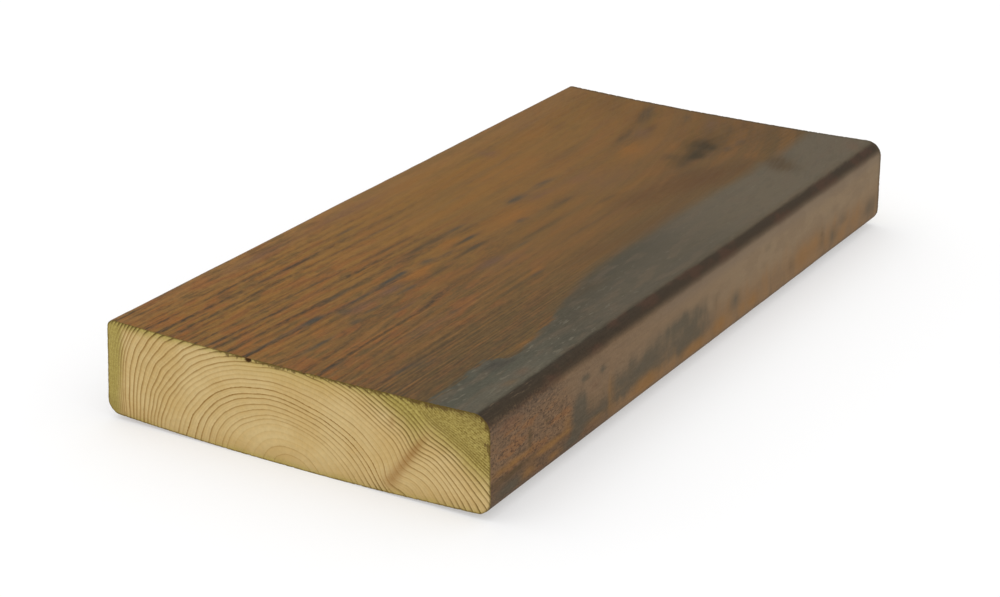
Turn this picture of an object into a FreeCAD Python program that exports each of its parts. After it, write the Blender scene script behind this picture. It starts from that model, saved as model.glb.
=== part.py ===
"""Decking board: a short length of planed softwood with rounded arrises.

The board lies flat with its length along Y, its width along X and its walking face up.
The origin is under the middle of the board, at the lowest point of its belly.
It has dried after planing, so it is cupped: the underside bows down, the walking face is dished and the
sides lean in towards the top.
"""

import FreeCAD, Part
import Sketcher
import enum
import math
import os

DOCUMENT_NAME = "DeckingBoard"
PIECE_NAME = "decking_board"
PARTS_FOLDER = "parts"
SAME_PLACE = 1e-6

# Driving dimensions in millimetres
DIMENSIONS = {
    "board_length": 261.0,
    "board_width": 120.0,
    "board_thickness": 28.0,
    "belly_drop": 1.7,
    "face_dish": 1.0,
    "side_lean": 0.7,
    "arris_radius": 4.0,
    "eased_arris_radius": 5.0,
    "tight_arris_radius": 2.25,
}


class Point(enum.IntEnum):
    """Numbers that a sketch gives to the points of one of its lines or arcs."""

    START = 1
    END = 2
    CENTRE = 3


class Axis(enum.IntEnum):
    """Numbers that a sketch gives to its own axes; the horizontal one starts at the origin."""

    HORIZONTAL = -1
    VERTICAL = -2


ORIGIN_POINT = (Axis.HORIZONTAL, Point.START)


def make_sheet(document):
    """Spreadsheet with one named cell for each driving dimension."""
    sheet = document.addObject("Spreadsheet::Sheet", "Sizes")
    for row, (name, value) in enumerate(DIMENSIONS.items(), start=1):
        sheet.set(f"A{row}", name)
        sheet.set(f"B{row}", str(value))
        sheet.setAlias(f"B{row}", name)
    document.recompute()
    return sheet


def origin_plane(body, role):
    """One of the body's own base planes, found by its role."""
    return next(plane for plane in body.Origin.OriginFeatures if plane.Role == role)


def shallow_arc(middle_height, half_width, rise):
    """Arc from left to right whose middle is on the vertical axis and whose ends are higher by the rise."""
    radius = (half_width**2 + rise**2) / (2 * rise)
    half_angle = math.asin(half_width / radius)
    centre = FreeCAD.Vector(0, middle_height + radius, 0)
    circle = Part.Circle(centre, FreeCAD.Vector(0, 0, 1), radius)
    return Part.ArcOfCircle(circle, -math.pi / 2 - half_angle, -math.pi / 2 + half_angle)


def name_dimension(sketch, constraint, name, expression):
    """Adds a dimension to the sketch under a name, driven by the sheet."""
    number = sketch.addConstraint(constraint)
    sketch.renameConstraint(number, name)
    sketch.setExpression(f"Constraints.{name}", expression)


def draw_section(body, sheet):
    """The board's cross-section with sharp corners: two shallow arcs joined by two sides that lean in."""
    sketch = body.newObject("Sketcher::SketchObject", "Section")
    sketch.AttachmentSupport = [(origin_plane(body, "XZ_Plane"), "")]
    sketch.MapMode = "FlatFace"

    half_width = sheet.board_width / 2
    belly_arc = shallow_arc(0, half_width, sheet.belly_drop)
    face_arc = shallow_arc(sheet.board_thickness, half_width - sheet.side_lean, sheet.face_dish)
    belly = sketch.addGeometry(belly_arc)
    face = sketch.addGeometry(face_arc)
    right_side = sketch.addGeometry(Part.LineSegment(belly_arc.EndPoint, face_arc.EndPoint))
    left_side = sketch.addGeometry(Part.LineSegment(face_arc.StartPoint, belly_arc.StartPoint))
    face_middle = sketch.addGeometry(Part.Point(FreeCAD.Vector(0, sheet.board_thickness, 0)), True)

    sketch.addConstraint(
        [
            Sketcher.Constraint("Coincident", belly, Point.END, right_side, Point.START),
            Sketcher.Constraint("Coincident", right_side, Point.END, face, Point.END),
            Sketcher.Constraint("Coincident", face, Point.START, left_side, Point.START),
            Sketcher.Constraint("Coincident", left_side, Point.END, belly, Point.START),
            Sketcher.Constraint("PointOnObject", belly, Point.CENTRE, Axis.VERTICAL),
            Sketcher.Constraint("PointOnObject", face, Point.CENTRE, Axis.VERTICAL),
            Sketcher.Constraint("Horizontal", belly, Point.START, belly, Point.END),
            Sketcher.Constraint("Horizontal", face, Point.START, face, Point.END),
            Sketcher.Constraint("PointOnObject", *ORIGIN_POINT, belly),
            Sketcher.Constraint("PointOnObject", face_middle, Point.START, Axis.VERTICAL),
            Sketcher.Constraint("PointOnObject", face_middle, Point.START, face),
        ]
    )
    name_dimension(
        sketch,
        Sketcher.Constraint("DistanceX", belly, Point.START, belly, Point.END, sheet.board_width),
        "width",
        "Sizes.board_width",
    )
    name_dimension(
        sketch,
        Sketcher.Constraint("DistanceY", *ORIGIN_POINT, face_middle, Point.START, sheet.board_thickness),
        "thickness",
        "Sizes.board_thickness",
    )
    name_dimension(
        sketch,
        Sketcher.Constraint("DistanceY", *ORIGIN_POINT, belly, Point.END, sheet.belly_drop),
        "belly_drop",
        "Sizes.belly_drop",
    )
    name_dimension(
        sketch,
        Sketcher.Constraint("DistanceY", face_middle, Point.START, face, Point.END, sheet.face_dish),
        "face_dish",
        "Sizes.face_dish",
    )
    name_dimension(
        sketch,
        Sketcher.Constraint("DistanceX", right_side, Point.END, right_side, Point.START, sheet.side_lean),
        "side_lean",
        "Sizes.side_lean",
    )
    return sketch


def long_edges(shape, corners):
    """Names of the edges along the length that stand on one of the section's corners, given as (x, z)."""
    names = []
    for number, edge in enumerate(shape.Edges, start=1):
        first, last = (vertex.Point for vertex in (edge.Vertexes[0], edge.Vertexes[-1]))
        places = ((first.x, first.z), (last.x, last.z))
        if any(all(math.dist(corner, place) < SAME_PLACE for place in places) for corner in corners):
            names.append(f"Edge{number}")
    return names


def round_arrises(body, base, name, corners, radius_expression):
    """Rounds the long edges of the base feature that stand on the corners."""
    fillet = body.newObject("PartDesign::Fillet", name)
    fillet.Base = (base, long_edges(base.Shape, corners))
    fillet.setExpression("Radius", radius_expression)
    return fillet


def make_board(document, sheet):
    """The section sawn to length, then rounded: the upper right arris more and the upper left one less."""
    body = document.addObject("PartDesign::Body", "Board")
    body.Label = PIECE_NAME
    section = draw_section(body, sheet)

    stock = body.newObject("PartDesign::Pad", "Stock")
    stock.Profile = section
    stock.SideType = "Symmetric"
    stock.setExpression("Length", "Sizes.board_length")
    section.Visibility = False
    document.recompute()

    lower_x, lower_z = sheet.board_width / 2, sheet.belly_drop
    upper_x, upper_z = lower_x - sheet.side_lean, sheet.board_thickness + sheet.face_dish
    feature = stock
    for name, corners, radius_expression in (
        ("LowerArrises", [(-lower_x, lower_z), (lower_x, lower_z)], "Sizes.arris_radius"),
        ("EasedArris", [(upper_x, upper_z)], "Sizes.eased_arris_radius"),
        ("TightArris", [(-upper_x, upper_z)], "Sizes.tight_arris_radius"),
    ):
        feature = round_arrises(body, feature, name, corners, radius_expression)
        document.recompute()
    return body


def check(document, pieces):
    """Stops before anything is written if a feature failed or a piece has no sound solid."""
    for item in document.Objects:
        if "Invalid" in item.State or "Error" in item.State:
            raise RuntimeError(f"{item.Label} failed: {item.State}")
    for piece in pieces:
        shape = piece.Shape
        if shape.isNull() or not shape.isValid() or len(shape.Solids) != 1:
            raise RuntimeError(f"{piece.Label} is not one sound solid")


def main():
    document = FreeCAD.newDocument(DOCUMENT_NAME)
    sheet = make_sheet(document)
    pieces = [make_board(document, sheet)]
    check(document, pieces)
    os.makedirs(PARTS_FOLDER, exist_ok=True)
    for piece in pieces:
        piece.Shape.exportStep(os.path.join(PARTS_FOLDER, f"{piece.Label}.step"))
        box = piece.Shape.BoundBox
        print(f"{piece.Label}: {box.XLength:.2f} x {box.YLength:.2f} x {box.ZLength:.2f} mm,", end=" ")
        print(f"lowest point {box.ZMin:.3f} mm, volume {piece.Shape.Volume / 1000:.2f} cm3")


main()
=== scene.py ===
"""Decking board: a short length of brown stained softwood with raw sawn ends.

The board is one closed skin worked out with numpy: the cupped section with its rounded arrises, carried
along the length, and a grid of points over each sawn end. A field of growth rings runs through the wood,
so the rings on the sawn end carry on as the grain lines of the faces.
"""

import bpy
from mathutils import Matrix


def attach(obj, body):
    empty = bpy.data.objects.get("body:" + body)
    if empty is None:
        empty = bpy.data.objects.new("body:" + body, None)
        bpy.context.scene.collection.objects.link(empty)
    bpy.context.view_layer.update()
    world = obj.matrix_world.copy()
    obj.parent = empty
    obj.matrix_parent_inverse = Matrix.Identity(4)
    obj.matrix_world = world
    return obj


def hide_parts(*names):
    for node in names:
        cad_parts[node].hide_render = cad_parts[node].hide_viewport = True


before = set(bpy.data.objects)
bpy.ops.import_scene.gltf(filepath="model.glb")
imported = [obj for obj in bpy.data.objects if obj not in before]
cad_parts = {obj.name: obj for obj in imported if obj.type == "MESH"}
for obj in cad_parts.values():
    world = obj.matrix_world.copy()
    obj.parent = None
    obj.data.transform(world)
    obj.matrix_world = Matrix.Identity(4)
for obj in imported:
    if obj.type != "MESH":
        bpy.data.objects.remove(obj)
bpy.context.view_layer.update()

from types import SimpleNamespace

import bpy
import numpy as np
from mathutils import Matrix, Vector
from numpy.polynomial import Chebyshev

# Sizes of the board in millimetres, as in the part's source
BOARD_LENGTH = 261.0
BOARD_WIDTH = 120.0
BOARD_THICKNESS = 28.0
BELLY_DROP = 1.7
FACE_DISH = 1.0
SIDE_LEAN = 0.7
ARRIS_RADIUS = 4.0
EASED_ARRIS_RADIUS = 5.0
TIGHT_ARRIS_RADIUS = 2.25

HALF_LENGTH = BOARD_LENGTH / 2
HALF_WIDTH = BOARD_WIDTH / 2
BELLY_RADIUS = (HALF_WIDTH**2 + BELLY_DROP**2) / (2 * BELLY_DROP)
DISH_RADIUS = ((HALF_WIDTH - SIDE_LEAN) ** 2 + FACE_DISH**2) / (2 * FACE_DISH)
SIDE_RISE = BOARD_THICKNESS + FACE_DISH - BELLY_DROP
SIDE_RUN = np.array([-SIDE_LEAN, SIDE_RISE]) / np.hypot(SIDE_LEAN, SIDE_RISE)
SIDE_OUT = np.array([SIDE_RUN[1], -SIDE_RUN[0]])
METRES_PER_MILLIMETRE = 0.001

# Cells of the skin across a face, up a side and along the length, and points of the lines behind them
FACE_CELLS = 232
SIDE_CELLS = 54
LENGTH_CELLS = 114
ARC_POINTS = 25
BOW_POINTS = 400
EDGE_POINTS = 1201

# Relief of the wood in millimetres: what stands proud, what is sunk and how far the planes waver
LATEWOOD_RISE = 0.06
END_LATEWOOD_RISE = 0.05
KNOT_DISH = 0.2
NICK_DEPTH = 0.07
PIT_NOTCH = 0.3
PIT_DEPTH = 0.8
FACE_WAVER = 0.03
END_WAVER = 0.04

# Growth rings read off the sawn end: radius in millimetres at the left foot of the ring, and how dark it is
RINGS = (
    (0, 0), (7, 0.35), (10.3, 0.4), (13.5, 0.1), (16.5, 0.1), (19.5, 0.15), (21.6, 0.45), (23.2, 0.5),
    (25.6, 0.55), (27.8, 0.75), (30.4, 0.9), (32.2, 1), (34.8, 1), (36.1, 0.25), (37.4, 0.7), (38.8, 0.2),
    (40.2, 0.35), (41.6, 0.5), (42.8, 0.75), (44.1, 0.8), (45.2, 0.7), (46.3, 0.8), (47.4, 0.85),
    (48.8, 0.9), (50.2, 0.9), (51.4, 0.8), (52.5, 0.95), (53.8, 0.9), (55.1, 0.8),
)
OUTER_RING_STEP = 0.6
OUTER_RING_COUNT = 40
OUTER_RING_DARKNESS = 0.85
RAY_RADIUS = 40

# The pith on the near end, as (x, z), and how it dives, wanders and shifts aside along the board
PITH = (0.95, -0.85)
PITH_DIVE = 0.010
PITH_WANDER = 2.6
PITH_WANDER_RUN = 110
PITH_FAR_SHIFT = -9

# How far three of the rings lie from the pith in several directions, turning from right over the top to left
DIRECTIONS = np.radians([0, 15, 30, 50, 75, 100, 125, 150, 165, 180])
INNER_RING = (34.8, [31, 26.5, 23.9, 21.7, 20.4, 21.6, 25.3, 30.7, 33.3, 35])
MIDDLE_RING = (43.5, [49.5, 41, 35, 31, 29.2, 30, 33.3, 39.7, 42.7, 43.7])
OUTER_RING = (55.6, [70, 58.5, 49, 43, 41, 43, 50.5, 58.2, 57.6, 55.4])

# Brown trace of a side branch on the sawn end, as (x, z), how deep it runs, a small trace beside it as x, z,
# half width and half height, and the dent of the rings along the trace
TRACE_FOOT = (29.65, 2.87)
TRACE_TOP = (41.65, 20.17)
TRACE_RUN = 30
SMALL_TRACE = (30.8, 20.8, 0.8, 1.7)
DENT_DEPTH = 1.9
DENT_BREADTH = 4
DENT_RUN = 40

# Knot of another branch on the face, as (x, y), and the swelling of the rings round it
KNOT = (10.8, 91.9)
SWELL_RISE = 2.6
SWELL_BREADTH = 9
SWELL_RUN = 24

# Small dark pits under the upper edge of the near end: x, z, half width and half height
RESIN_PITS = ((-13.6, 27.3, 1.3, 0.75), (-2.7, 28, 0.5, 0.45), (4, 27.9, 0.45, 0.6))
PIT_RUN = 1.5

# Green treatment of the sawn end: x where the left strip ends, growth where the right corner starts, and a
# reach that lies well outside
LEFT_STRIP_X = -55.8
CORNER_GROWTH = 48.9
OUTSIDE = -20

# Left border of the grey sapwood on the walking face, from the near end to the far end
GREY_BORDER_Y = [-131, -110, -98, -95, -90, -80, -70, -60, -50, -40, -30, -20, 0, 40, 80, 90, 96, 105, 131]
GREY_BORDER_X = [
    41.5, 40.3, 40, 45, 45.5, 43, 42, 39.7, 37, 35.5,
    33.5, 32.5, 32, 32, 34.3, 33.3, 36, 34.5, 33.6,
]

# Grain lines of the walking face where they start on the near end: x, half width and darkness
FACE_LINES = (
    (-56.5, 0.5, 0.35), (-54.2, 0.5, 0.35), (-52, 0.5, 0.4), (-49.5, 0.5, 0.5), (-46.5, 0.55, 0.75),
    (-42.6, 0.75, 1), (-38.2, 0.6, 0.85), (-36, 0.4, 0.35), (-33.2, 0.45, 0.4), (-30.4, 0.5, 0.6),
    (-26.8, 0.6, 0.9), (-24.2, 0.5, 0.6), (-20.3, 0.65, 0.9), (-17.6, 0.4, 0.3), (-14.5, 0.75, 1),
    (-10.5, 0.5, 0.25), (-4.9, 0.45, 0.5), (-3, 0.7, 0.8), (3.4, 0.6, 0.5), (8.4, 0.6, 0.9),
    (11.5, 0.4, 0.3), (14.2, 0.45, 0.5), (16.6, 0.4, 0.4), (18.6, 0.4, 0.45), (20.4, 0.4, 0.35),
    (22.3, 0.45, 0.55), (24.7, 0.5, 0.8), (26.3, 0.4, 0.4), (27.8, 0.4, 0.45), (29.4, 0.4, 0.5),
    (30.9, 0.4, 0.45), (32.3, 0.4, 0.5), (33.6, 0.4, 0.45), (35, 0.4, 0.5), (36.4, 0.4, 0.45),
    (37.8, 0.4, 0.5), (39.2, 0.4, 0.5), (40.5, 0.4, 0.5), (43, 0.5, 0.3), (46, 0.5, 0.3), (49, 0.5, 0.3),
    (52, 0.5, 0.25),
)
HEART_X = -3
GLOW_BREADTH = 3.2

# Stains of the walking face, spindles along the grain: x, y, half width, half length and strength
FACE_STAINS = {
    "blue_stain": (
        (-12, -64, 1.1, 9, 0.8), (-4.2, -66.5, 1, 6, 0.7), (-17.8, -81.5, 0.9, 10, 0.6),
        (-11.6, -80.5, 1, 8, 0.6), (-10, -90, 1.7, 3.5, 0.6), (-4.2, -83.5, 0.8, 6, 0.6),
        (-3.5, -94.5, 1.4, 3.2, 0.7), (-13.2, -100, 1.3, 5.5, 0.8), (-14.3, -115, 0.8, 12, 0.5),
        (-2.8, -114, 0.9, 9, 0.7), (-16, 16.5, 2.6, 6.5, 0.65), (-16.3, 34, 1.8, 8, 0.55),
        (-18, -17.5, 0.9, 6, 0.6), (-10.5, -20, 1, 5, 0.6), (-5.5, -27, 0.9, 4, 0.5),
        (-11, -45, 1.5, 3.5, 0.7), (-5.3, 0.5, 1.5, 3.6, 0.6), (-9.5, -36, 0.9, 6, 0.5),
        (-12, -57, 1, 3.5, 0.6), (5, -16, 0.9, 6.5, 0.5), (20.5, -36.5, 0.7, 4.5, 0.5),
        (-43.5, -37.5, 0.9, 6, 0.5), (-35.5, -33, 0.7, 11, 0.4), (18.8, 107, 1.6, 5, 0.5),
        (-8, 122, 2, 8, 0.4), (2.2, -79, 0.8, 8, 0.6), (27.5, -109, 3.2, 7, 0.4),
        (43.6, -101.5, 2.6, 5, 0.9), (46, -97, 0.8, 4, 0.7), (15, -74, 1.6, 4, 0.4),
        (8.4, -122, 0.8, 6, 0.5), (24.7, -118, 0.8, 7, 0.5), (18, 98, 1.6, 4, 0.5),
    ),
    "orange_stain": (
        (-45, -113, 1.3, 7, 0.6), (-40.5, -112.5, 1.2, 5, 0.5), (-26, -111.5, 1.3, 7, 0.5),
        (-8, -104.5, 2.8, 6.5, 0.6), (-14, -28.5, 1.5, 7.5, 0.7), (-8.5, -50, 1.7, 6, 0.7),
        (-9, 2, 5.5, 12, 0.6), (19, -35, 0.8, 9, 0.6), (-8.5, 80, 4.5, 11, 0.7), (43, -84, 1.2, 9, 0.6),
        (-15, -70, 1.3, 10, 0.5), (-8, -56, 2.4, 6.5, 0.7), (0.2, -60, 2, 11, 0.5),
        (2.2, -46, 1.4, 11, 0.5), (4.8, -119, 1.5, 11, 0.5), (-33, -95, 1.6, 14, 0.4),
        (-23, -90, 1.3, 14, 0.4), (-30, -60, 2, 14, 0.4), (-30, 42, 10, 28, 0.5), (-43, 76, 5, 12, 0.4),
        (28, 97, 5, 6, 0.4), (53, -109.5, 1.5, 3.5, 0.35), (-24, 95, 4, 30, 0.4), (2, 90, 2.2, 7, 0.5),
    ),
    "plum_stain": (
        (-8, -69, 2.6, 6.5, 0.8), (-8, -85, 2.8, 8, 0.7), (-52, -23, 3, 26, 0.6), (-12, 24, 3, 9, 0.6),
        (4.8, -36, 2, 8, 0.8), (-45, 49, 4, 5, 0.6), (-12.5, 97, 4, 8, 0.6), (15, -87.5, 2.8, 12, 0.5),
        (-52.5, -72, 2.4, 18, 0.6), (-9, 45, 5, 13, 0.5), (9, -30, 2, 14, 0.4), (52, 122, 3.5, 6, 0.5),
        (52, -101, 2, 4, 0.5), (16, 89, 1.2, 2.6, 0.6), (-50, 82, 3.5, 9, 0.4), (2, 120, 3.5, 8, 0.5),
        (1, 48, 4, 18, 0.4),
    ),
    "russet_stain": (
        (20, 52, 8.5, 22, 0.7), (26, 70, 6, 14, 0.7), (-13, 104, 2, 6, 0.7), (14, 34, 4, 12, 0.5),
        (12, 125, 3.5, 7, 0.6), (30, 84, 4, 10, 0.5), (30, 20, 4, 24, 0.5), (26, -15, 5, 20, 0.5),
        (-36, 118, 9, 14, 0.4), (4.5, -50, 3.6, 15, 0.5),
    ),
    "shadow_stain": (
        (-21.5, 117, 3.2, 12, 0.8), (11, 116, 2.6, 8, 0.6), (41, 91, 6, 6.5, 0.9), (36.5, 97, 3.5, 8, 0.5),
        (-16.8, 91, 2, 12, 0.8), (-35.8, -44, 0.8, 8, 0.4), (19.5, 68, 6, 10, 0.6), (6.5, 80, 3.6, 5, 0.7),
        (24, 10, 6, 22, 0.3), (38, -40, 3, 14, 0.5), (44.6, -91, 0.6, 6, 0.9), (41, -86, 0.5, 7, 0.8),
        (38.6, -92, 0.5, 9, 0.8), (36.8, -88, 0.5, 9, 0.6), (5, 112, 2.6, 6, 0.5), (42.6, -80, 0.5, 6, 0.6),
        (-40, 88, 3, 8, 0.4), (22, 118, 7, 10, 0.35), (-24, 62, 4, 18, 0.4), (-18.2, -33, 1.2, 19, 1.1),
        (-5.4, -30, 1, 12, 1.1), (-3.8, -51, 1, 12, 0.9), (3.4, -4, 1.4, 22, 0.7), (-2.8, 22, 1.3, 9, 0.7),
        (14, 10, 1, 22, 0.5), (-10.6, -24, 1, 9, 0.9), (7.6, 33, 1.6, 7, 0.6), (1.2, -50, 0.9, 14, 0.8),
        (20.6, -45, 0.9, 16, 0.9), (4.6, -36, 1.8, 8, 0.7), (-25.5, -45, 0.9, 18, 0.7),
        (-15, -15, 0.8, 7, 0.6),
    ),
    "knot": (
        (9.4, 97.5, 7.2, 8.2, 0.8), (12, 97, 2.8, 3, 0.35), (11.8, 86, 4.2, 7, 0.7),
        (13, 85.5, 2.2, 3.2, 0.3), (11.6, 75, 3.4, 7, 0.5), (11, 108, 5, 5, 0.3),
    ),
}

# How the grain leans along the near part of the face, and how it bends aside beyond a place along the board
GRAIN_LEAN = 0.02
BEND_START = 60
BEND_RATE = 0.003

# Stains of the right side, ovals: y, z, half length, half height and strength
SIDE_STAINS = {
    "slate_stain": (
        (-88, 5.6, 5, 1.8, 0.8), (-121, 6, 9, 2, 0.8), (-80, 21, 2.4, 1.3, 0.9), (-70, 20, 2.2, 1.3, 0.8),
        (15.5, 11, 4, 3.6, 0.8), (38.5, 20.5, 2.4, 1.8, 0.5), (91, 8.5, 3.8, 3.4, 0.65),
        (123, 8.5, 6, 4, 0.6), (100, 11.5, 4, 2.4, 0.4), (-83, 12, 4, 6, 0.8), (-22, 17, 14, 3, 0.5),
    ),
    "amber_stain": (
        (-44, 6.6, 10, 2.8, 0.9), (-13, 6, 9, 2.4, 0.9), (5, 7, 5, 3.2, 0.8), (28, 7, 5, 3, 0.7),
        (66, 9, 6, 4.5, 0.8), (76, 10.5, 4.5, 4.5, 0.6), (97, 6.5, 4, 2.4, 0.6), (108, 8, 3, 3, 0.5),
        (-120, 11.9, 12, 1.1, 0.9), (-99, 9.2, 10, 1.1, 1.1), (-111, 6.3, 4, 1.6, 0.8),
        (-97, 5.5, 4, 1.2, 0.8), (-64.8, 11, 1.6, 6, 0.8), (-74, 7, 7, 1.2, 0.5), (-90, 12, 3, 3, 0.5),
        (86, 8, 2, 3.6, 0.7), (113, 10, 2.2, 4, 0.35), (20, 7, 2.2, 2.6, 0.6),
    ),
    "plum_stain": ((-121, 23.5, 9, 2.4, 0.6), (-75, 17, 3.5, 1.6, 0.5)),
    "shadow_stain": (
        (-120, 9.4, 11, 1, 1), (-110, 15, 1.4, 3.4, 0.9), (-101, 16.8, 1.8, 0.8, 0.7),
        (-117.5, 23.3, 1.2, 0.8, 0.8), (-96.5, 24.8, 0.8, 0.8, 0.8), (36, 15.5, 2, 1.6, 0.4),
        (57.5, 9, 2.2, 3.6, 0.55), (81, 10.5, 2.4, 4.4, 0.6), (-93.5, 16, 1, 2.4, 0.5),
    ),
}
STAINS = sorted({*FACE_STAINS, *SIDE_STAINS})

# Noises of the stained faces: whether they follow the bend of the grain, stretch along and up, scale, detail
FACE_NOISES = dict(
    streak=(True, 0.03, 1, 0.3, 3), fine=(True, 0.09, 1, 2.2, 3), ragged=(True, 0.16, 1, 0.8, 3),
    mottle=(True, 0.28, 1, 0.4, 4), redness=(True, 0.22, 1, 0.31, 4), broad=(True, 0.06, 1, 0.15, 2),
    scratch=(False, 0.2, 1, 1.1, 3), cloud=(False, 0.35, 1, 0.045, 3), blotch=(False, 0.5, 1, 0.16, 4),
    grit=(False, 1, 1, 1.6, 2), upright=(False, 1, 0.35, 0.2, 3), fibre=(False, 1, 0.3, 1.1, 3),
    row=(False, 0.3, 1, 1.7, 3), speck=(False, 0.45, 0.9, 2.4, 3), dash=(False, 0.22, 1, 1.5, 4),
)


def tone(*steps):
    """Linear colour of a tone in the usual steps of 0 to 255."""
    share = np.array(steps) / 255
    linear = np.where(share > 0.04045, ((share + 0.055) / 1.055) ** 2.4, share / 12.92)
    return (*linear.tolist(), 1.0)


def smooth(low, high, value):
    """Soft step from 0 at low to 1 at high."""
    share = np.clip((value - low) / (high - low), 0, 1)
    return share * share * (3 - 2 * share)


def bell(distance, reach):
    """Bell curve of a distance: 1 at 0, and about a third at the reach."""
    return np.exp(-((distance / reach) ** 2))


def drift(x, y, z, pitch, seed):
    """Slow random waves between about -1 and 1: a sum of sines of seeded directions and phases."""
    dice = np.random.default_rng(seed)
    waves = 9
    total = 0
    for direction, phase in zip(dice.normal(size=(waves, 3)), dice.uniform(0, 2 * np.pi, waves)):
        turn = (direction[0] * x / pitch[0] + direction[1] * y / pitch[1] + direction[2] * z / pitch[2]) * 2
        total = total + np.sin(turn + phase)
    return total / np.sqrt(waves)


def shown(data):
    """A new object in the scene that shows a mesh, light or camera and has its name."""
    made = bpy.data.objects.new(data.name, data)
    bpy.context.collection.objects.link(made)
    return made


# Section of the board


def belly_height(x):
    """Height of the bowed underside at a place across the board."""
    return BELLY_RADIUS - np.sqrt(BELLY_RADIUS**2 - x**2)


def face_height(x):
    """Height of the dished walking face at a place across the board."""
    return BOARD_THICKNESS + DISH_RADIUS - np.sqrt(DISH_RADIUS**2 - x**2)


def arc(centre, radius, start, end):
    """Points of a circular arc about a centre, from the angle start to the angle end."""
    angle = np.linspace(start, end, ARC_POINTS)
    return np.stack([centre[0] + radius * np.cos(angle), centre[1] + radius * np.sin(angle)], axis=1)


def arris_centre(radius, upper):
    """Centre of a rounded arris of the right side, upper or lower.

    It lies its radius in from the leaning side, and from the bow of the face or the belly.
    """
    bow_height = BOARD_THICKNESS + DISH_RADIUS if upper else BELLY_RADIUS
    bow_reach = DISH_RADIUS + radius if upper else BELLY_RADIUS - radius
    start = np.array([HALF_WIDTH, BELLY_DROP]) - radius * SIDE_OUT
    from_bow = start - np.array([0, bow_height])
    ahead = from_bow @ SIDE_RUN
    travel = -ahead - np.sqrt(ahead**2 - from_bow @ from_bow + bow_reach**2)
    return start + travel * SIDE_RUN


def side_arrises(lower_radius, upper_radius):
    """The two rounded arrises of the right side, each tangent to the leaning side and to its bowed face."""
    lean = np.arctan2(SIDE_OUT[1], SIDE_OUT[0])
    lower_x, lower_z = arris_centre(lower_radius, upper=False)
    upper_x, upper_z = arris_centre(upper_radius, upper=True)
    dish_middle = BOARD_THICKNESS + DISH_RADIUS
    lower = arc((lower_x, lower_z), lower_radius, np.arctan2(lower_z - BELLY_RADIUS, lower_x), lean)
    upper = arc((upper_x, upper_z), upper_radius, lean, np.arctan2(dish_middle - upper_z, -upper_x))
    return lower, upper


def evenly(points, cells):
    """The same line with its points moved along it to equal steps."""
    run = np.concatenate([[0], np.cumsum(np.hypot(*np.diff(points, axis=0).T))])
    wanted = np.linspace(0, run[-1], cells + 1)
    return np.stack([np.interp(wanted, run, points[:, 0]), np.interp(wanted, run, points[:, 1])], axis=1)


def section_lines():
    """The four lines of the section: belly to the right, right side up, face to the left and left side down.

    Each line runs from the middle of one rounded arris to the middle of the next.
    """
    mirror = np.array([-1, 1])
    lower_right, upper_right = side_arrises(ARRIS_RADIUS, EASED_ARRIS_RADIUS)
    lower_left, upper_left = (points * mirror for points in side_arrises(ARRIS_RADIUS, TIGHT_ARRIS_RADIUS))
    half = len(lower_right) // 2
    belly_x = np.linspace(lower_left[0, 0], lower_right[0, 0], BOW_POINTS)
    belly_bow = np.stack([belly_x, belly_height(belly_x)], axis=1)
    face_x = np.linspace(upper_right[-1, 0], upper_left[-1, 0], BOW_POINTS)
    face_bow = np.stack([face_x, face_height(face_x)], axis=1)
    belly = np.concatenate([lower_left[half::-1], belly_bow[1:-1], lower_right[: half + 1]])
    right = np.concatenate([lower_right[half:], upper_right[: half + 1]])
    face = np.concatenate([upper_right[half:], face_bow[1:-1], upper_left[: half - 1 : -1]])
    left = np.concatenate([upper_left[half::-1], lower_left[: half - 1 : -1]])
    cells = (FACE_CELLS, SIDE_CELLS, FACE_CELLS, SIDE_CELLS)
    return [evenly(line, count) for line, count in zip((belly, right, face, left), cells)]


# Growth rings in the wood


def ring_radius(x, y, z):
    """Growth of the tree at a point, as the radius in millimetres that its ring has at the left foot.

    The distance from the pith is compared with the inner, middle and outer guide ring in the same direction,
    and the value runs evenly from each guide to the next. The pith dives towards the far end, the rings are
    dented along the branch trace, and they swell round the knot.
    """
    across = x - PITH[0] - PITH_WANDER * (1 - np.exp(-(y + HALF_LENGTH) / PITH_WANDER_RUN)) - far_shift(y)
    up = z - PITH[1] + PITH_DIVE * (y + HALF_LENGTH)
    reach = np.hypot(across, up)
    direction = np.arctan2(up, across)
    (inner, inner_line), (middle, middle_line), (outer, outer_line) = (
        (radius, Chebyshev.fit(DIRECTIONS, distances, deg=7)(direction))
        for radius, distances in (INNER_RING, MIDDLE_RING, OUTER_RING)
    )
    growth = inner * np.clip(reach / inner_line, 0, 1)
    growth = growth + (middle - inner) * np.clip((reach - inner_line) / (middle_line - inner_line), 0, 1)
    growth = growth + (outer - middle) * np.maximum((reach - middle_line) / (outer_line - middle_line), 0)

    along, aside = trace_place(x, z)
    dent = bell(aside, DENT_BREADTH) * smooth(-6, 3, along) * (1 - 0.7 * smooth(10, 26, along))
    growth = growth + DENT_DEPTH * dent * bell(y + HALF_LENGTH, DENT_RUN)
    swell = bell(x - KNOT[0], SWELL_BREADTH) * bell(y - KNOT[1], SWELL_RUN) * smooth(8, 28, z)
    growth = growth + SWELL_RISE * swell
    return growth + 0.22 * drift(x, y, z, (14, 120, 14), 3) + 0.1 * drift(x, y, z, (4, 45, 4), 4)


def far_shift(y):
    """How far the heart of the tree has moved aside at a place along the board, a soft step."""
    return PITH_FAR_SHIFT * smooth(-30, 115, y)


def trace_place(x, z):
    """Distance along the branch trace from its foot, and distance aside from its middle line."""
    run = np.subtract(TRACE_TOP, TRACE_FOOT)
    run = run / np.hypot(*run)
    from_foot_x = x - TRACE_FOOT[0]
    from_foot_z = z - TRACE_FOOT[1]
    return from_foot_x * run[0] + from_foot_z * run[1], from_foot_x * run[1] - from_foot_z * run[0]


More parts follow.
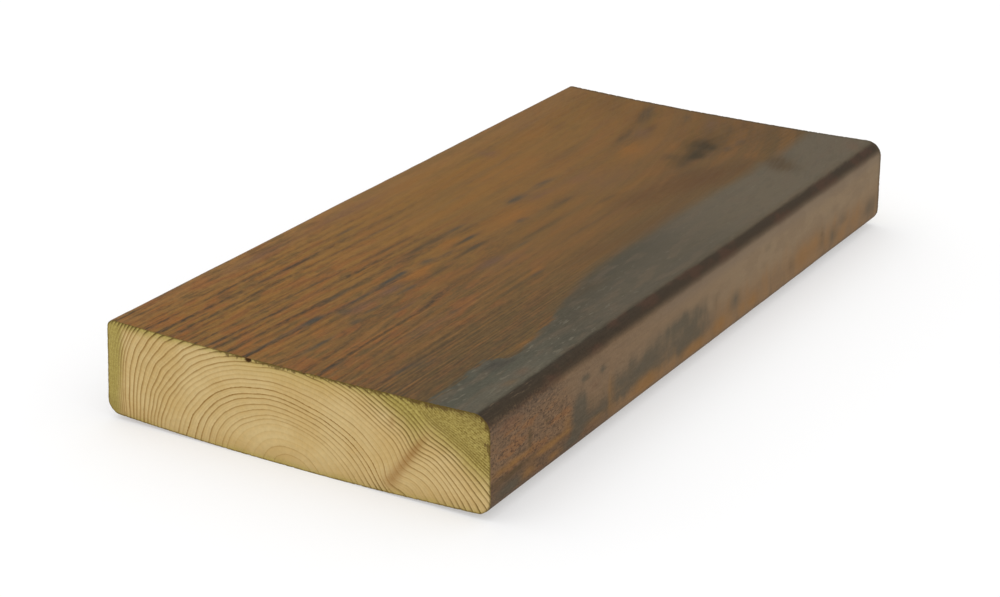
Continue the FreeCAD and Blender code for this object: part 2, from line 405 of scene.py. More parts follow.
def ring_fields(x, y, z):
    """Count of rings from the pith, width and darkness of the nearest ring, and the way round the pith.

    The count is a whole number on each ring line. The width is the step between two lines, divided by how
    fast the growth changes across the section. The way round is the angle about the pith times a middle
    radius.
    """
    radii, darkness = np.array(RINGS).T
    beyond = np.arange(1, OUTER_RING_COUNT + 1) * OUTER_RING_STEP
    radii = np.concatenate([radii, radii[-1] + beyond])
    darkness = np.concatenate([darkness, np.full(OUTER_RING_COUNT, OUTER_RING_DARKNESS)])
    growth = ring_radius(x, y, z)
    count = np.interp(growth, radii, np.arange(len(radii)))
    nudge = 0.1
    slope_x = (ring_radius(x + nudge, y, z) - ring_radius(x - nudge, y, z)) / (2 * nudge)
    slope_z = (ring_radius(x, y, z + nudge) - ring_radius(x, y, z - nudge)) / (2 * nudge)
    steps = np.append(np.diff(radii), OUTER_RING_STEP)
    width = steps[count.astype(int)] / np.maximum(np.hypot(slope_x, slope_z), 0.2)
    around = RAY_RADIUS * np.arctan2(z - PITH[1], x - PITH[0])
    dark = darkness[np.rint(count).astype(int)]
    return {"ring": count, "ring_width": width, "ring_dark": dark, "around": around}


def latewood_swell(fields):
    """How far the dense latewood stands proud, 0 to 1: a slow rise to a ring line and a drop past it."""
    share = fields["ring"] % 1
    return smooth(0.45, 0.95, share) * (1 - smooth(0.95, 1.0, share)) * fields["ring_dark"]


# Marks on the wood


def edge_depth(x, z):
    """Depth of a point of the section in from its outline.

    It is the least of the depths below the face, above the belly and in from the leaning side; beyond the
    centre of a rounded arris it is the arris radius less the distance from that centre.
    """
    beside = HALF_WIDTH - SIDE_LEAN * (z - BELLY_DROP) / SIDE_RISE - np.abs(x)
    depth = np.minimum(np.minimum(face_height(x) - z, z - belly_height(x)), beside)
    lower_arrises = (ARRIS_RADIUS, 1, False), (ARRIS_RADIUS, -1, False)
    upper_arrises = (EASED_ARRIS_RADIUS, 1, True), (TIGHT_ARRIS_RADIUS, -1, True)
    for radius, hand, upper in lower_arrises + upper_arrises:
        centre_x, centre_z = arris_centre(radius, upper)
        past_x = hand * x - centre_x
        past_z = z - centre_z if upper else centre_z - z
        depth = np.where((past_x > 0) & (past_z > 0), radius - np.hypot(past_x, past_z), depth)
    return np.maximum(depth, 0)


def end_marks(x, y, z):
    """Marks of the sawn end: depth in from the edge, depth below the face, green treatment and branch trace.

    The treatment is a reach in millimetres, positive inside the green wood: a strip along the left side, the
    outer rings of the upper right corner, and a thin band under every edge.
    """
    below_face = face_height(x) - z
    above_belly = z - belly_height(x)
    growth = ring_radius(x, y, z)
    left_strip = LEFT_STRIP_X - x + 1.4 * smooth(6, 28, z)
    corner = np.where(x > 0, 0.45 * (growth - CORNER_GROWTH - 4.4 * smooth(36, 43, x)), OUTSIDE)
    face_band = 0.8 + 0.9 * smooth(-30, -58, x) + 1.4 * smooth(12, 28, x) - below_face
    belly_band = 0.4 + 0.5 * smooth(30, 0, np.abs(x)) - above_belly
    treated = np.maximum(np.maximum(left_strip, corner), np.maximum(face_band, belly_band))
    along, aside = trace_place(x, z)
    half_breadth = 2.1 - 0.055 * along
    near_end = bell(y + HALF_LENGTH, TRACE_RUN)
    trace = bell(aside, half_breadth) * smooth(-3, 2, along) * (1 - smooth(14, 23, along)) * near_end
    small_x, small_z, half_x, half_z = SMALL_TRACE
    small_trace = bell(x - small_x, half_x) * bell(z - small_z, half_z) * near_end
    return {
        "depth": edge_depth(x, z),
        "below_face": np.maximum(below_face, 0),
        "treated": treated,
        "trace": np.maximum(trace, 0.6 * small_trace),
    }


def resin_pit(x, y, z):
    """Depth share, 0 to 1, of the small dark pits under the upper edge of the near end."""
    pit = 0
    for centre_x, centre_z, half_x, half_z in RESIN_PITS:
        pit = np.maximum(pit, bell(x - centre_x, half_x) * bell(z - centre_z, half_z))
    return pit * bell(y + HALF_LENGTH, PIT_RUN)


def inner_marks(x, y, z):
    """Marks that run through the wood: growth rings, the marks of the sawn end and the pits."""
    return ring_fields(x, y, z) | end_marks(x, y, z) | {"pit": resin_pit(x, y, z)}


def blots(u, v, places):
    """Sum of soft oval spots, up to 1; a spot has its centre, its half sizes and its strength."""
    total = np.zeros_like(u)
    for centre_u, centre_v, half_u, half_v, strength in places:
        total = total + strength * bell(u - centre_u, half_u) * bell(v - centre_v, half_v)
    return np.clip(total, 0, 1)


def grain_lean(y):
    """How far the grain has run aside at a place along the board: an even lean, less the bend's square."""
    return GRAIN_LEAN * y - BEND_RATE * np.maximum(y - BEND_START, 0) ** 2


def line_start(x, y):
    """Where the grain line through a point of the walking face starts on the near end, as a place across.

    The growth at the point is looked up in the growth along the near edge, left or right of the heart.
    """
    edge_x = np.linspace(-HALF_WIDTH, HALF_WIDTH, EDGE_POINTS)
    edge_growth = ring_radius(edge_x, np.full_like(edge_x, -HALF_LENGTH), face_height(edge_x))
    heart = np.searchsorted(edge_x, HEART_X)
    growth = ring_radius(x, y, face_height(x))
    left = np.interp(growth, np.maximum.accumulate(edge_growth[heart::-1]), edge_x[heart::-1])
    right = np.interp(growth, np.maximum.accumulate(edge_growth[heart:]), edge_x[heart:])
    return np.where(x < HEART_X + far_shift(y), left, right)


def grain_lines(x, y):
    """Darkness of the placed grain lines of the walking face, and the glow of the wood beside them.

    A line is a bell curve across the grain that broadens and fades towards the far end; its darkness drifts
    along the length. The glow is the same with a broader bell.
    """
    start = line_start(x, y)
    blur = 1 + 1.6 * smooth(-70, 50, y)
    line = 0
    glow = 0
    for place, half_width, darkness in FACE_LINES:
        strength = darkness * (0.8 + 0.22 * drift(place, y, 0, (1, 22, 1), 21) + 0.35 * smooth(-95, -125, y))
        line = line + strength * bell(start - place, half_width * blur)
        glow = glow + strength * bell(start - place, GLOW_BREADTH * half_width)
    return np.clip(line, 0, 1) * (1 - 0.8 * smooth(-90, 10, y)), np.clip(glow, 0, 1)


def face_marks(x, y, z, outward_x, outward_z):
    """Marks of the stained faces: grain lines, placed stains, the grey sapwood, the arrises and the sides.

    The grey wood is a reach in millimetres, positive right of its border line on the walking face.
    """
    on_face = smooth(0.6, 0.9, outward_z)
    on_right = smooth(0.6, 0.9, outward_x)
    line, glow = grain_lines(x, y)
    marks = {"grain_line": on_face * line, "grain_glow": on_face * glow, "grain_start": line_start(x, y)}
    for name in STAINS:
        leaning = [(u - grain_lean(v), v, *rest) for u, v, *rest in FACE_STAINS.get(name, ())]
        on_top = on_face * blots(x - grain_lean(y), y, leaning)
        marks[name] = on_top + on_right * blots(y, z, SIDE_STAINS.get(name, ()))
    slant = 1 - np.maximum(np.abs(outward_x), np.abs(outward_z))
    marks["grey"] = np.where(outward_z > 0.5, x - np.interp(y, GREY_BORDER_Y, GREY_BORDER_X), OUTSIDE)
    marks["arris"] = smooth(0.004, 0.1, slant)
    marks["side"] = smooth(0.6, 0.95, np.abs(outward_x))
    marks["belly"] = smooth(-0.6, -0.95, outward_z)
    return marks


# Mesh of the board


def board_stations():
    """Places along the length: steps that widen towards the far end, a few close ones at each sawn end."""
    close = np.array([0, 0.35, 1])
    margin = 2
    widening = 1.25
    share = np.linspace(0, 1, LENGTH_CELLS + 1 - 2 * len(close)) ** widening
    inner = margin - HALF_LENGTH + (BOARD_LENGTH - 2 * margin) * share
    return np.concatenate([-HALF_LENGTH + close, inner, HALF_LENGTH - close[::-1]])


def board_skin(outline, stations):
    """The section's outline carried along the length, raised along its normals by the relief of the wood.

    Latewood stands a few hundredths proud, the knot lies in a shallow dish, and the sawn edges are frayed by
    random nicks.
    """
    tangent = np.roll(outline, -1, axis=0) - np.roll(outline, 1, axis=0)
    tangent = tangent / np.hypot(*tangent.T)[:, None]
    shape = (len(stations), len(outline))
    lines = (*outline.T, tangent[:, 1], -tangent[:, 0], stations[:, None])
    x, z, outward_x, outward_z, y = (np.broadcast_to(line, shape) for line in lines)
    fields = inner_marks(x, y, z) | face_marks(x, y, z, outward_x, outward_z)
    dice = np.random.default_rng(11)
    from_end = HALF_LENGTH - np.abs(y)
    nick = np.clip(dice.normal(0, 1, shape) - 0.3, 0, 2) * smooth(0.5, 0, from_end)
    relief = LATEWOOD_RISE * latewood_swell(fields) - KNOT_DISH * fields["knot"]
    relief = relief - NICK_DEPTH * nick - PIT_NOTCH * fields["pit"]
    relief = relief + FACE_WAVER * drift(x, y, z, (12, 50, 12), 8)
    height = np.maximum(z + relief * outward_z, 0)
    points = np.stack([x + relief * outward_x, y, height], axis=-1)
    return points, fields


def sawn_end(belly, right, face, left, y_place):
    """Grid over a sawn end, blended from its four border lines.

    Each point is the blend of belly and face at its share of the height, plus the blend of the two sides at
    its share of the width, less the blend of the four corners. The pits are sunk into the end.
    """
    share_x = np.linspace(0, 1, FACE_CELLS + 1)[None, :, None]
    share_z = np.linspace(0, 1, SIDE_CELLS + 1)[:, None, None]
    lower, upper = belly[None, :, :], face[None, ::-1, :]
    near_left, near_right = left[::-1, None, :], right[:, None, :]
    upright = (1 - share_z) * lower + share_z * upper
    level = (1 - share_x) * near_left + share_x * near_right
    corners = (1 - share_z) * ((1 - share_x) * belly[0] + share_x * belly[-1])
    corners = corners + share_z * ((1 - share_x) * face[-1] + share_x * face[0])
    grid = (upright + level - corners)[1:-1, 1:-1]
    x, z = grid[..., 0], grid[..., 1]
    y = np.full_like(x, y_place)
    face_only = (*STAINS, "grain_line", "grain_glow", "grain_start", "grey", "arris", "side", "belly")
    fields = inner_marks(x, y, z) | {name: np.zeros_like(x) for name in face_only}
    relief = END_LATEWOOD_RISE * latewood_swell(fields) + END_WAVER * drift(x, y, z, (9, 9, 9), 9)
    relief = relief - PIT_DEPTH * fields["pit"]
    points = np.stack([x, y + np.sign(y_place) * relief, z], axis=-1)
    return points, fields


def grid_faces(numbers):
    """Quads over a grid of point numbers, each from a point to its neighbours round one cell."""
    corners = (numbers[:-1, :-1], numbers[:-1, 1:], numbers[1:, 1:], numbers[1:, :-1])
    return np.stack(corners, axis=-1).reshape(-1, 4)


def end_numbers(ring_start, inner_start):
    """Point numbers over a sawn end: the skin's own border points round the end's inner points."""
    numbers = np.empty((SIDE_CELLS + 1, FACE_CELLS + 1), dtype=int)
    around = ring_start + np.arange(2 * (FACE_CELLS + SIDE_CELLS))
    side_start, face_start, left_start = FACE_CELLS, FACE_CELLS + SIDE_CELLS, 2 * FACE_CELLS + SIDE_CELLS
    numbers[0, :] = around[: FACE_CELLS + 1]
    numbers[:, -1] = around[side_start : face_start + 1]
    numbers[-1, :] = around[face_start : left_start + 1][::-1]
    numbers[1:, 0] = around[left_start:][::-1]
    inner = (SIDE_CELLS - 1, FACE_CELLS - 1)
    numbers[1:-1, 1:-1] = inner_start + np.arange(inner[0] * inner[1]).reshape(inner)
    return numbers


def make_board(face_finish, end_finish):
    """The whole board as one closed mesh, with its marks stored on its points."""
    belly, right, face, left = section_lines()
    outline = np.concatenate([belly[:-1], right[:-1], face[:-1], left[:-1]])
    stations = board_stations()
    skin_points, skin_fields = board_skin(outline, stations)
    near_points, near_fields = sawn_end(belly, right, face, left, -HALF_LENGTH)
    far_points, far_fields = sawn_end(belly, right, face, left, HALF_LENGTH)
    groups = (skin_points, near_points, far_points)
    points = np.concatenate([group.reshape(-1, 3) for group in groups])

    skin_count = skin_points.size // 3
    near_count = near_points.size // 3
    numbers = np.arange(skin_count).reshape(len(stations), len(outline))
    numbers = np.concatenate([numbers, numbers[:, :1]], axis=1)
    skin_faces = grid_faces(numbers)[:, ::-1]
    near_faces = grid_faces(end_numbers(0, skin_count))
    far_faces = grid_faces(end_numbers(skin_count - len(outline), skin_count + near_count))[:, ::-1]
    faces = np.concatenate([skin_faces, near_faces, far_faces])

    mesh = bpy.data.meshes.new("decking_board_wood")
    mesh.from_pydata(points * METRES_PER_MILLIMETRE, [], faces)
    mesh.materials.append(face_finish)
    mesh.materials.append(end_finish)
    on_end = np.arange(len(faces)) >= len(skin_faces)
    mesh.polygons.foreach_set("material_index", on_end.astype(np.int32))
    mesh.polygons.foreach_set("use_smooth", np.ones(len(faces), dtype=bool))
    for name in skin_fields:
        values = np.concatenate([np.ravel(group[name]) for group in (skin_fields, near_fields, far_fields)])
        mesh.attributes.new(name, "FLOAT", "POINT").data.foreach_set("value", values.astype(np.float32))
    mark_sawn_edges(mesh, skin_count, len(outline))
    mesh.update()
    return shown(mesh)


def mark_sawn_edges(mesh, skin_count, outline_count):
    """Keeps the edges between the faces and the sawn ends crisp."""
    ends = np.empty(2 * len(mesh.edges), dtype=np.int32)
    mesh.edges.foreach_get("vertices", ends)
    ends = ends.reshape(-1, 2)
    on_near = (ends < outline_count).all(axis=1)
    on_far = ((ends >= skin_count - outline_count) & (ends < skin_count)).all(axis=1)
    mesh.attributes.new("sharp_edge", "BOOLEAN", "EDGE").data.foreach_set("value", on_near | on_far)


# Finishes


class Shade:
    """A value inside a finish: it wraps one output socket, and arithmetic on it adds Math nodes."""

    def __init__(self, tree, socket=None):
        self.tree = tree
        self.socket = socket

    def node(self, kind, settings, sockets, output=0):
        """Adds a node of any kind: its settings first, then the values or links of its sockets."""
        made = self.tree.nodes.new(kind)
        for name, value in settings.items():
            setattr(made, name, value)
        fill_sockets(made, sockets)
        return Shade(self.tree, made.outputs[output])

    def maths(self, operation, *values):
        return self.node("ShaderNodeMath", {"operation": operation}, dict(enumerate(values)))

    def __add__(self, other):
        return self.maths("ADD", self, other)

    def __sub__(self, other):
        return self.maths("SUBTRACT", self, other)

    def __rsub__(self, other):
        return self.maths("SUBTRACT", other, self)

    def __mul__(self, other):
        return self.maths("MULTIPLY", self, other)

    __radd__ = __add__
    __rmul__ = __mul__

    def step(self, low, high):
        """Soft step from 0 at low to 1 at high."""
        sockets = {"Value": self, "From Min": low, "From Max": high}
        return self.node("ShaderNodeMapRange", {"interpolation_type": "SMOOTHSTEP"}, sockets)

    def tint(self, under, over):
        """Colour that goes from under to over as this value goes from 0 to 1."""
        return self.node("ShaderNodeMix", {"data_type": "RGBA"}, {0: self, 6: under, 7: over}, output=2)

    def scaled(self, factor):
        """This colour or vector times a number."""
        return self.node("ShaderNodeVectorMath", {"operation": "SCALE"}, {0: self, 3: factor})

    def stretched(self, factors):
        """This vector with each of its parts times its own number."""
        return self.node("ShaderNodeVectorMath", {"operation": "MULTIPLY"}, {0: self, 1: factors})

    def noise(self, scale, detail):
        """Cloudy noise at this place, around 0.5."""
        return self.node("ShaderNodeTexNoise", {}, {"Vector": self, "Scale": scale, "Detail": detail})

    def sway(self, amount):
        """This noise less its middle, times an amount, so that it goes to either side of 0."""
        return amount * (self - 0.5)

    def mark(self, name):
        """A mark that is stored on the points of the board."""
        return self.node("ShaderNodeAttribute", {"attribute_name": name}, {}, output=2)

    def part(self, axis):
        """One part of this vector: 0 across, 1 along and 2 up."""
        return self.node("ShaderNodeSeparateXYZ", {}, {0: self}, output=axis)

    def bump(self, strength, distance):
        """Normals of a surface with this height, in shares of a distance in metres."""
        return self.node("ShaderNodeBump", {}, {"Height": self, "Strength": strength, "Distance": distance})


def new_material(name):
    """An empty finish and its surface shader."""
    material = bpy.data.materials.new(name)
    material.use_nodes = True
    return material, material.node_tree.nodes["Principled BSDF"]


def fill_sockets(node, sockets):
    """Links what varies to the sockets of a node, by name or number, and sets constants on them."""
    for name, value in sockets.items():
        if isinstance(value, Shade):
            value.tree.links.new(value.socket, node.inputs[name])
        else:
            node.inputs[name].default_value = value


def board_place(start):
    """The place on the board in millimetres, from its Object coordinates."""
    return start.node("ShaderNodeTexCoord", {}, {}, output=3).scaled(1 / METRES_PER_MILLIMETRE)


def laid(colour, **layers):
    """A colour with named layers laid over it in turn; each is a tone and its cover, 0 to 1."""
    for steps, cover in layers.values():
        colour = cover.tint(colour, tone(*steps))
    return colour


def ring_line(mark, wander, soft, crisp):
    """Darkness of the growth-ring lines, and the share of the way across each ring.

    A line fades in over the soft width on its inner side and ends over the crisp width on its outer side.
    """
    ring = mark("ring") + wander
    share = ring.maths("FRACT", ring)
    width = mark("ring_width")
    inner_side = ((1 - share) * width).step(soft, 0)
    outer_side = (share * width).step(crisp, 0)
    return inner_side.maths("MAXIMUM", inner_side, outer_side) * mark("ring_dark"), share


# Stained faces


def face_wood(start):
    """What the layers of the stained faces share: places in millimetres, marks, noises and a few zones.

    The grain is crisp near the camera and soft beyond the middle of the board.
    """
    place = board_place(start)
    across, along, up = (place.part(axis) for axis in range(3))
    past_bend = along.maths("MAXIMUM", along - BEND_START, 0)
    bent_across = across + BEND_RATE * past_bend * past_bend
    bent_place = start.node("ShaderNodeCombineXYZ", {}, {0: bent_across, 1: along, 2: up})
    noises = {}
    for name, (bends, along_stretch, up_stretch, scale, detail) in FACE_NOISES.items():
        noise_place = bent_place if bends else place
        noises[name] = noise_place.stretched((1.0, along_stretch, up_stretch)).noise(scale, detail)
    grain_start = start.mark("grain_start")
    thread_place = start.node("ShaderNodeCombineXYZ", {}, {0: grain_start, 1: 0.03 * along})
    right = across.step(0, 1)
    return SimpleNamespace(
        mark=start.mark, across=across, along=along, up=up,
        side=start.mark("side"), right=right,
        rough=right * (along + 0.9 * up + noises["blotch"].sway(14)).step(-66, -78),
        crispness=1 - 0.75 * along.step(-90, 0),
        grain_start=grain_start,
        thread=thread_place.noise(0.9, 3),
        **noises,
    )


def brown_wood(wood):
    """Brown wood of the walking face and the belly: broad tones, then threads and dark grain lines."""
    across, crispness = wood.across, wood.crispness
    far = wood.along.step(-60, 10)
    calm = 1 - 0.5 * across.step(14, 28)
    dashed = wood.dash.step(0.62, 0.38)
    broken = crispness * (0.6 + 0.55 * dashed)
    close_start = wood.grain_start + wood.ragged.sway(0.5)
    close_line = close_start.maths("PINGPONG", close_start, 0.6).step(0.25, 0.0) * across.step(20, 30)
    glow = wood.mark("grain_glow") * wood.ragged.step(0.5, 0.62) * crispness * across.step(32, 6)
    belly_line, _ = ring_line(wood.mark, wood.streak.sway(0.4), 1.0, 0.35)
    return laid(
        tone(134, 97, 46),
        middle_brown=((113, 83, 45), (across + wood.cloud.sway(24)).step(-44, 20)),
        dull_brown=((102, 79, 45), across.step(14, 38)),
        sandy_brown=((139, 102, 60), 0.6 * (across + wood.cloud.sway(10)).step(-42, -56)),
        rust=((132, 82, 44), 0.6 * crispness * calm * wood.redness.step(0.48, 0.62)),
        dark_mottle=((92, 75, 44), 0.6 * crispness * wood.mottle.step(0.5, 0.64)),
        far_gold=((132, 92, 44), 0.5 * far * wood.broad.step(0.48, 0.62)),
        far_olive=((110, 86, 48), 0.3 * far * wood.broad.step(0.48, 0.34)),
        dark_thread=((80, 62, 40), 0.55 * broken * wood.thread.step(0.53, 0.68)),
        pale_thread=((144, 101, 54), 0.45 * crispness * calm * wood.thread.step(0.48, 0.34)),
        close_line=((74, 60, 40), 0.8 * broken * close_line),
        line_glow=((142, 88, 36), 0.6 * glow),
        grain_line=((70, 56, 40), wood.mark("grain_line") * (0.62 + 0.6 * dashed)),
        belly_line=((74, 62, 48), 0.5 * wood.mark("belly") * belly_line),
    )


def side_wood(wood):
    """Paler wood of the long sides: upright blotches, and a rough reddish patch at the near right."""
    along, up, upright, rough = wood.along, wood.up, wood.upright, wood.rough
    low = (up + upright.sway(7)).step(18, 8)
    foot = (up + upright.sway(3)).step(12, 9)
    return laid(
        tone(120, 97, 73),
        # Painted sheen: the sides turn lighter and greyer towards the far end.
        far_side=((134, 113, 87), (along + wood.cloud.sway(50)).step(-100, 60)),
        low_side=((128, 98, 66), 0.7 * low),
        side_blotch=((114, 94, 72), 0.3 * wood.blotch.step(0.46, 0.64)),
        side_shade=((104, 86, 66), 0.4 * low * upright.step(0.52, 0.66)),
        side_gleam=((138, 104, 66), 0.4 * low * upright.step(0.48, 0.34)),
        rough_side=((114, 89, 65), 0.7 * rough),
        rough_rust=((138, 93, 54), 0.55 * rough * wood.redness.step(0.5, 0.62)),
        rough_top=((94, 80, 66), 0.5 * rough * up.step(21, 25)),
        dark_row=((70, 55, 44), 0.6 * rough * wood.row.step(0.54, 0.66)),
        pale_row=((142, 108, 76), 0.5 * rough * wood.row.step(0.46, 0.34)),
        dark_fibre=((68, 54, 43), 0.2 * rough * wood.fibre.step(0.54, 0.66)),
        dark_speck=((60, 48, 39), 0.65 * rough * wood.speck.step(0.54, 0.66)),
        side_top=((112, 98, 84), 0.4 * up.step(20, 25) * along.step(-50, -20)),
        side_foot=((86, 68, 52), 0.5 * wood.right * along.step(-55, -75) * foot),
    )


def grey_sapwood(wood):
    """Cover of the grey sapwood along the right of the walking face, and its colour."""
    along, crispness = wood.along, wood.crispness
    feather = wood.blotch.sway(3) + crispness * (wood.ragged.sway(4) + wood.dash.sway(2.4))
    reach = wood.mark("grey") + feather
    softness = 0.9 + 2.6 * along.step(-75, -10)
    cover = reach.maths("DIVIDE", reach, softness).step(-1, 1)
    clouded = along + wood.cloud.sway(30)
    colour = laid(
        tone(78, 77, 65),
        middle_grey=((84, 77, 63), clouded.step(-105, -60)),
        far_grey=((98, 88, 71), clouded.step(-10, 60)),
        slate_grey=((70, 66, 53), 0.7 * reach.step(14, 3) * along.step(-85, -62) * along.step(25, -15)),
        brown_grey=((99, 86, 69), 0.45 * wood.redness.step(0.5, 0.64)),
        dark_grey=((70, 68, 56), 0.65 * crispness * wood.mottle.step(0.52, 0.66)),
        grey_scratch=((116, 109, 92), 0.55 * crispness * wood.scratch.step(0.6, 0.7)),
        grey_strip=((98, 91, 76), 0.5 * wood.across.step(48, 51) * along.step(-80, -100)),
    )
    return cover, colour


def ragged_stain(wood, name, strength):
    """Cover of a placed stain, ragged along the grain."""
    return (strength * wood.mark(name) * (0.3 + 1.3 * wood.ragged)).step(0, 1)


def stained(wood, colour):
    """A colour with the placed stains of the face and the right side laid over it, and the knot."""
    along, up, upright = wood.along, wood.up, wood.upright
    brown_gap = along.step(-81, -77) * along.step(-64, -68)
    slate_top = (up + upright.sway(8) + 3 * brown_gap).step(20.5, 11)
    slate_foot = (up + upright.sway(5)).step(4.5, 9)
    slate_run = along.step(-90, -84) * (along + upright.sway(30)).step(16, -18)
    slate_zone = wood.side * wood.right * slate_run * slate_top * slate_foot
    slate = slate_zone * (0.9 + wood.blotch.sway(1.6)) + wood.mark("slate_stain") * (0.4 + 1.2 * wood.blotch)
    amber = wood.mark("amber_stain") * (0.3 + 1.4 * upright)
    knot = wood.mark("knot") * (0.6 + 0.8 * wood.mottle)
    return laid(
        colour,
        shadow_stain=((82, 65, 42), ragged_stain(wood, "shadow_stain", 0.85)),
        russet_stain=((97, 68, 37), ragged_stain(wood, "russet_stain", 0.9)),
        orange_stain=((138, 92, 42), ragged_stain(wood, "orange_stain", 0.9)),
        plum_stain=((108, 80, 60), ragged_stain(wood, "plum_stain", 0.9)),
        slate_stain=((83, 76, 62), 0.85 * slate.step(0, 1)),
        amber_stain=((139, 100, 54), 0.75 * amber.step(0, 1)),
        blue_stain=((70, 65, 55), ragged_stain(wood, "blue_stain", 1.05)),
        knot=((62, 50, 28), 0.95 * knot.step(0, 1.15)),
    )


def dark_edges(wood, colour):
    """A colour with the dark arris of the upper right laid over it, then all arrises and the far edge."""
    edge_top = (wood.across + wood.ragged.sway(1.2) - wood.along.step(-60, 20)).step(54.7, 56.1)
    edge_side = (wood.up + wood.blotch.sway(1.2) + wood.rough * wood.grit.sway(5)).step(24.6, 27.4)
    edge_colour = laid(
        tone(52, 44, 34),
        red_edge=((72, 50, 38), wood.blotch.step(0.48, 0.66)),
        pale_hair=((120, 100, 78), 0.6 * wood.along.step(-90, -112) * wood.fine.step(0.6, 0.75)),
    )
    return laid(
        (0.9 * edge_top * edge_side).tint(colour, edge_colour),
        arris=((70, 56, 42), 0.3 * wood.mark("arris")),
        far_edge=((76, 63, 44), 0.5 * wood.along.step(HALF_LENGTH - 2.5, HALF_LENGTH - 0.5)),
    )


def stained_face_finish():
    """Planed softwood under a brown stain: orange and dark grain lines, placed stains and grey sapwood."""
    material, surface = new_material("stained_face")
    wood = face_wood(Shade(material.node_tree))
    on_face = 1 - wood.side
    grey, grey_colour = grey_sapwood(wood)
    colour = wood.side.tint(brown_wood(wood), side_wood(wood))
    colour = (0.95 * grey * on_face).tint(colour, grey_colour)
    colour = dark_edges(wood, stained(wood, colour))
    far_fall = 0.05 * wood.along.step(-40, 30) + 0.13 * wood.along.step(40, 130)
    far_shade = 1 - far_fall * on_face * (1 - 0.6 * grey)
    texture = 0.7 * (wood.fine + wood.grit - 1) + wood.dash.sway(0.5)
    shade = 0.92 + wood.streak.sway(0.16) + 0.6 * wood.crispness * texture
    height = 0.6 * wood.fine + 0.4 * wood.mark("grain_line")
    fill_sockets(surface, {
        "Base Color": colour.scaled(shade * far_shade),
        "Roughness": 0.55 + 0.15 * wood.streak,
        "Specular IOR Level": 0.06,
        "Normal": height.bump(0.25, 0.0001),
    })
    return material


# Sawn ends


def end_wood(start):
    """What the layers of the sawn ends share: places, marks and noises, three of them along the rings."""
    place = board_place(start)
    ring_place = start.node("ShaderNodeCombineXYZ", {}, {0: start.mark("ring"), 1: start.mark("around")})
    return SimpleNamespace(
        mark=start.mark,
        across=place.part(0),
        up=place.part(2),
        cloud=place.noise(0.09, 3),
        grain=place.noise(1.1, 3),
        dots=place.noise(3.0, 1),
        bite=place.stretched((0.9, 1.0, 0.5)).noise(1.0, 3),
        rays=ring_place.stretched((0.12, 2.6, 1.0)).noise(1.0, 2),
        patch=ring_place.stretched((0.8, 0.14, 1.0)).noise(1.0, 2),
        bead=ring_place.stretched((1.3, 2.0, 1.0)).noise(1.0, 1),
    )


def straw_wood(end, share):
    """Straw coloured wood between the ring lines, with fine rings and rays."""
    ring = end.mark("ring")
    fine_ring = 3 * ring
    fine_line = fine_ring.maths("PINGPONG", fine_ring, 0.5).step(0.3, 0.0)
    wide_ring = end.mark("ring_width").step(1.0, 2.2) * ring.step(4, 9)
    return laid(
        tone(201, 176, 124),
        straw=((194, 166, 111), end.cloud.step(0.35, 0.65)),
        late_straw=((188, 154, 92), 0.3 * share.step(0.2, 1.0)),
        fine_ring=((150, 114, 58), 0.2 * fine_line * wide_ring),
        ray=((206, 184, 134), 0.25 * end.rays.step(0.5, 0.7)),
        low_straw=((172, 142, 88), 0.35 * end.up.step(7, 1)),
        top_straw=((178, 152, 84), 0.35 * end.up.step(21, 27) * end.across.step(-30, -12)),
    )


def green_wood(end, corner):
    """Green of the treated wood: dotted in the upper right corner, and darker in two damp places."""
    plain = end.dots.step(0.3, 0.7).tint(tone(150, 134, 65), tone(171, 156, 84))
    dotted = end.dots.step(0.36, 0.64).tint(tone(146, 131, 62), tone(176, 161, 88))
    left_damp = end.across.step(-53, -57) * end.up.step(9, 4)
    right_damp = end.across.step(46, 54) * end.up.step(23, 27)
    damp = left_damp.maths("MAXIMUM", left_damp, right_damp)
    return laid((0.8 * corner).tint(plain, dotted), damp_green=((122, 108, 52), 0.4 * damp))


def sawn_edges(end, line, colour):
    """A colour with the edges of the cut laid over it: ring teeth, bites, a dark rim and the pits.

    Bites reach in from the upper edge and the upper part of the right edge; other edges are out of reach.
    """
    below_face, depth = end.mark("below_face"), end.mark("depth")
    across, grain = end.across, end.grain
    out_of_reach = 30
    teeth = line * (1 - (below_face + grain.sway(1.2)).step(0.2, 2.2))
    upper_edge = below_face + out_of_reach * across.step(-20, -50)
    right_edge = depth + out_of_reach * across.step(56, 50) + out_of_reach * end.up.step(18, 13)
    edge = upper_edge.maths("MINIMUM", upper_edge, right_edge)
    bite = (3.5 + 3 * across.step(18, 36)) * (end.bite - 0.56)
    return laid(
        colour,
        ring_tooth=((72, 56, 24), 0.8 * teeth),
        bite=((86, 64, 32), 0.75 * (1 - (edge + bite).step(0.0, 0.8))),
        rim=((94, 78, 34), 0.75 * (1 - (depth + grain.sway(0.6)).step(0.05, 0.55))),
        pit=((66, 42, 20), (end.mark("pit") * (0.6 + 0.8 * grain)).step(0.3, 0.7)),
    )


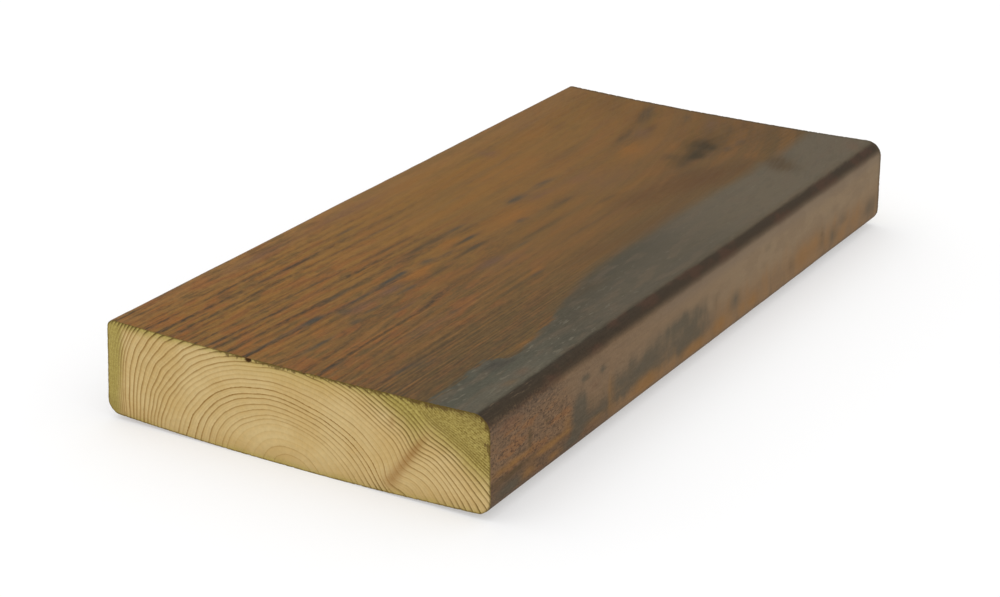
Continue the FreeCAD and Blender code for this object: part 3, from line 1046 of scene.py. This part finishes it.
def sawn_end_finish():
    """Raw end grain: straw wood with brown ring lines, green treated edges and a brown branch trace."""
    material, surface = new_material("sawn_end")
    end = end_wood(Shade(material.node_tree))
    across, grain, reach = end.across, end.grain, end.mark("treated")
    border = reach.step(-4.0, -0.5) * across.step(8, 30)
    corner = reach.step(0.2, 2.6) * across.step(0, 20)
    treated = (reach + grain.sway(1.2) + end.cloud.sway(1.8)).step(-1.6, 1.6)
    left_half = across.step(-12, -40)
    soft_width = 0.48 + 0.28 * border + 0.2 * left_half
    line, share = ring_line(end.mark, grain.sway(0.12), soft_width, 0.12 + 0.06 * left_half)
    colour = (0.85 * treated).tint(straw_wood(end, share), green_wood(end, corner))

    line_colour = border.maths("MAXIMUM", border, treated).tint(tone(136, 101, 47), tone(102, 80, 32))
    strength = 0.3 + 1.1 * end.patch + 0.06 * border - 0.04 * left_half
    beaded = 1 - corner * (0.05 + 0.7 * end.bead.step(0.4, 0.6))
    off_strip = 1 - 0.7 * across.step(-54.5, -57)
    colour = (line * strength * beaded * off_strip).tint(colour, line_colour)
    colour = laid(colour, branch_trace=((142, 100, 50), 0.6 * end.mark("trace") * (0.6 + 0.8 * end.rays)))
    colour = sawn_edges(end, line, colour)

    height = 0.5 * end.dots + 0.5 * line
    fill_sockets(surface, {
        "Base Color": colour.scaled(0.88 + 0.24 * grain),
        "Roughness": 0.85,
        "Specular IOR Level": 0.1,
        "Normal": height.bump(0.3, 0.00015),
    })
    return material


# Studio


def make_floor():
    """Plain pale floor under the board, a grid of four points."""
    reach = 4.0
    mesh = bpy.data.meshes.new("floor")
    corners = np.array([(-reach, -reach, 0), (reach, -reach, 0), (reach, reach, 0), (-reach, reach, 0)])
    mesh.from_pydata(corners, [], np.array([[0, 1, 2, 3]]))
    material, surface = new_material("pale_floor")
    fill_sockets(surface, {
        "Base Color": (0.55, 0.55, 0.55, 1),
        "Emission Color": (1, 1, 1, 1),
        "Emission Strength": 0.42,
        "Roughness": 0.9,
        "Specular IOR Level": 0.1,
    })
    mesh.materials.append(material)
    return shown(mesh)


def make_studio():
    """Even white surroundings, and one large square soft box above that faces the board."""
    world = bpy.data.worlds.new("studio")
    world.use_nodes = True
    fill_sockets(world.node_tree.nodes["Background"], {"Color": (1, 1, 1, 1), "Strength": 1})
    bpy.context.scene.world = world
    bpy.context.scene.view_settings.view_transform = "Standard"
    light = bpy.data.lights.new("overhead_box", "AREA")
    light.shape = "SQUARE"
    light.size = 1.2
    light.energy = 3
    place = Vector((-0.5, -0.3, 1.4))
    turn = (-place).to_track_quat("-Z", "Y")
    shown(light).matrix_world = Matrix.Translation(place) @ turn.to_matrix().to_4x4()


def make_camera():
    """Camera at the photograph's place, found from the board's outline in the picture; a little rolled."""
    place = Vector((0.331077, -0.613037, 0.279942))
    right = Vector((0.868421, 0.495353, 0.021593))
    down = Vector((0.200104, -0.310289, -0.929344))
    forward = Vector((-0.453648, 0.811389, -0.368587))
    data = bpy.data.cameras.new("camera")
    data.sensor_fit = "HORIZONTAL"
    data.sensor_width = 36.0
    data.lens = 88.696
    data.clip_start = 0.01
    camera = shown(data)
    camera.matrix_world = Matrix.Translation(place) @ Matrix((right, -down, -forward)).transposed().to_4x4()
    bpy.context.scene.camera = camera


board = make_board(stained_face_finish(), sawn_end_finish())
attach(board, "root")
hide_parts("decking_board")
make_floor()
make_studio()
make_camera()
